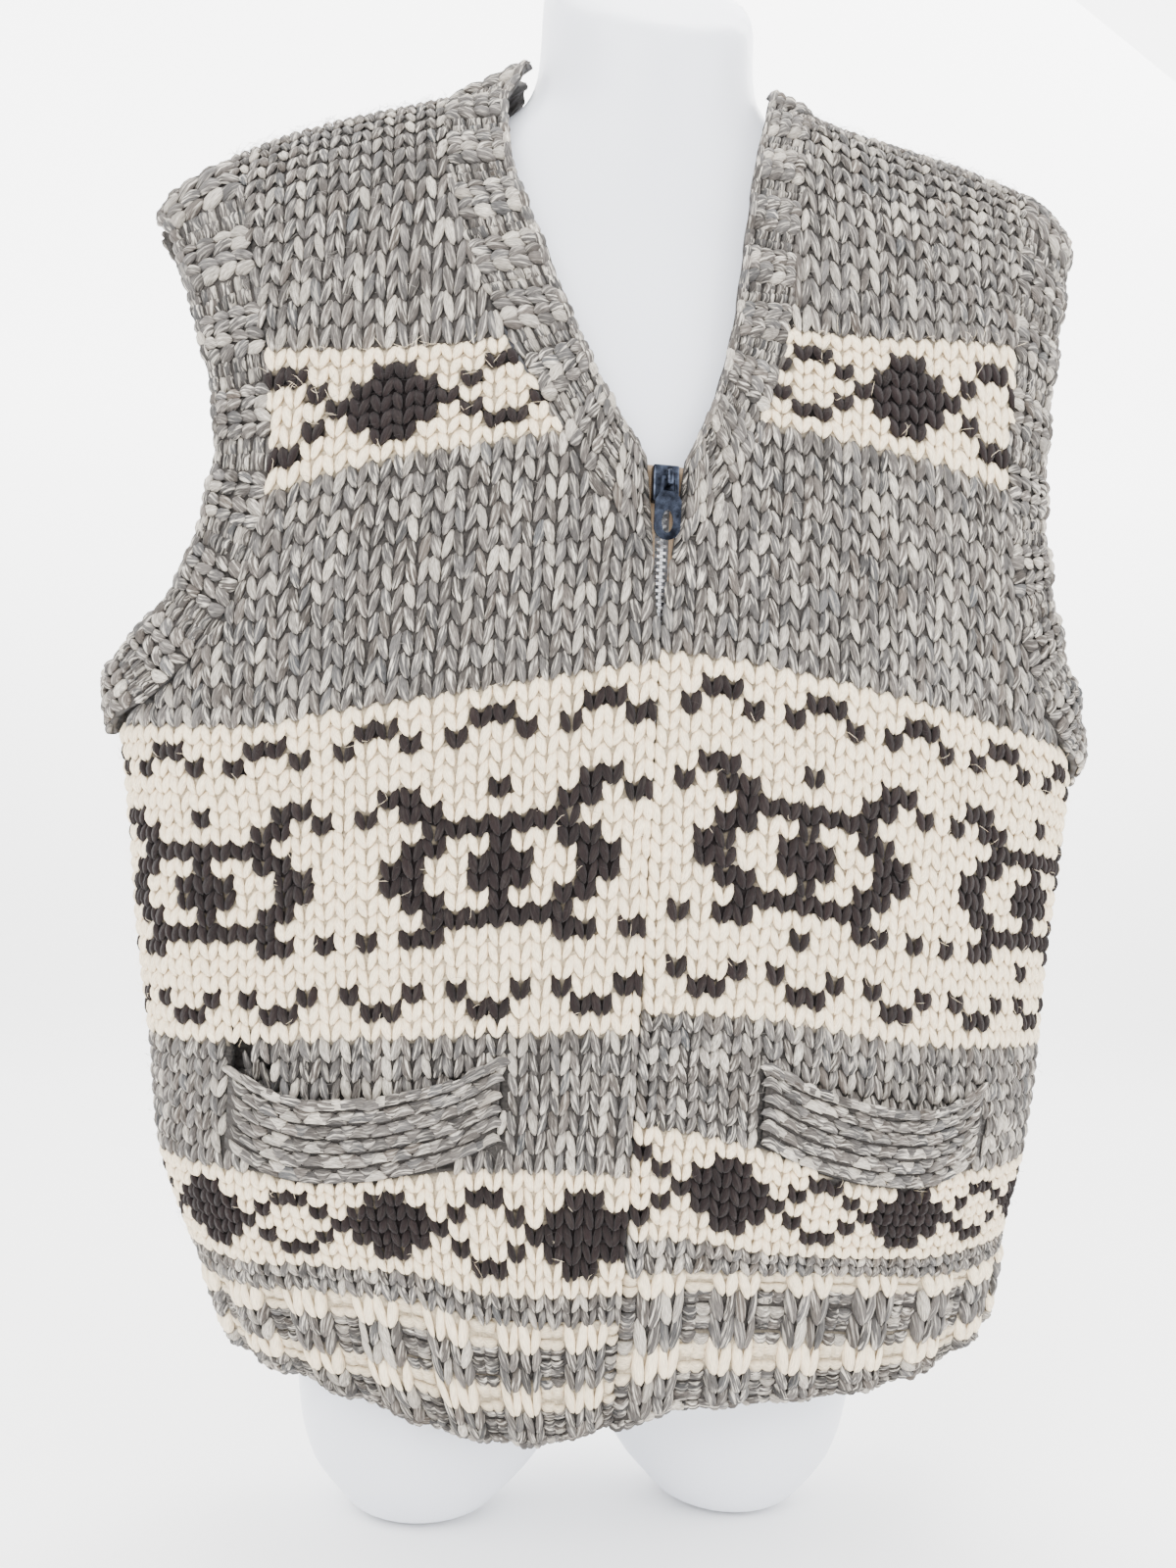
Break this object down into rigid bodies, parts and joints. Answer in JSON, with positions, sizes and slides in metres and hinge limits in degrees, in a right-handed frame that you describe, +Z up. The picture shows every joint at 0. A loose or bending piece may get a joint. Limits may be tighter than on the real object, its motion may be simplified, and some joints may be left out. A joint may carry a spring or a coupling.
{
  "type": "cowichan vest on torso form",
  "caption": "Sleeveless hand-knitted zip vest in grey, cream and brown wool with two slit pockets, worn by a limbless torso form.",
  "frame": {"origin": "on the surface it stands on, below the middle of the whole outline", "axes": "+Z up, the front of the vest faces -Y, the wearer's left is at +X"},
  "size_m": [0.5, 0.1959, 0.8151],
  "materials": {
    "knit_body": "cream, grey heather and dark brown bulky wool, stocking stitch",
    "knit_border": "grey heather bulky wool, ribbed and garter stitch",
    "pocket_cloth": "grey knitted pouch",
    "zip_tape": "tan woven tape",
    "zip_teeth": "bright metal teeth",
    "zip_metal": "dark plated slider and pull",
    "form_plastic": "smooth white moulded plastic"
  },
  "bodies": {
    "vest": {"back": "knit_body", "front_right": "knit_body", "front_left": "knit_body", "hem_rib_back": "knit_border", "hem_rib_front_right": "knit_border", "hem_rib_front_left": "knit_border", "neckband_back": "knit_border", "neckband_right": "knit_border", "neckband_left": "knit_border", "armband_right": "knit_border", "armband_left": "knit_border", "pocket_welt_right": "knit_border", "pocket_welt_left": "knit_border", "pocket_lining_right": "pocket_cloth", "pocket_lining_left": "pocket_cloth", "zip_tape_right": "zip_tape", "zip_tape_left": "zip_tape", "zip_teeth_right": "zip_teeth", "zip_teeth_left": "zip_teeth", "zip_slider": "zip_metal", "form_body": "form_plastic"},
    "zip_pull": {"zip_pull": "zip_metal"}
  },
  "joints": [
    {"name": "pull_swing", "type": "hinge", "parent": "vest", "child": "zip_pull", "pos_m": [0, -0.09456, 0.49789], "axis": [-1, 0, 0], "range_deg": [0, 150]}
  ]
}
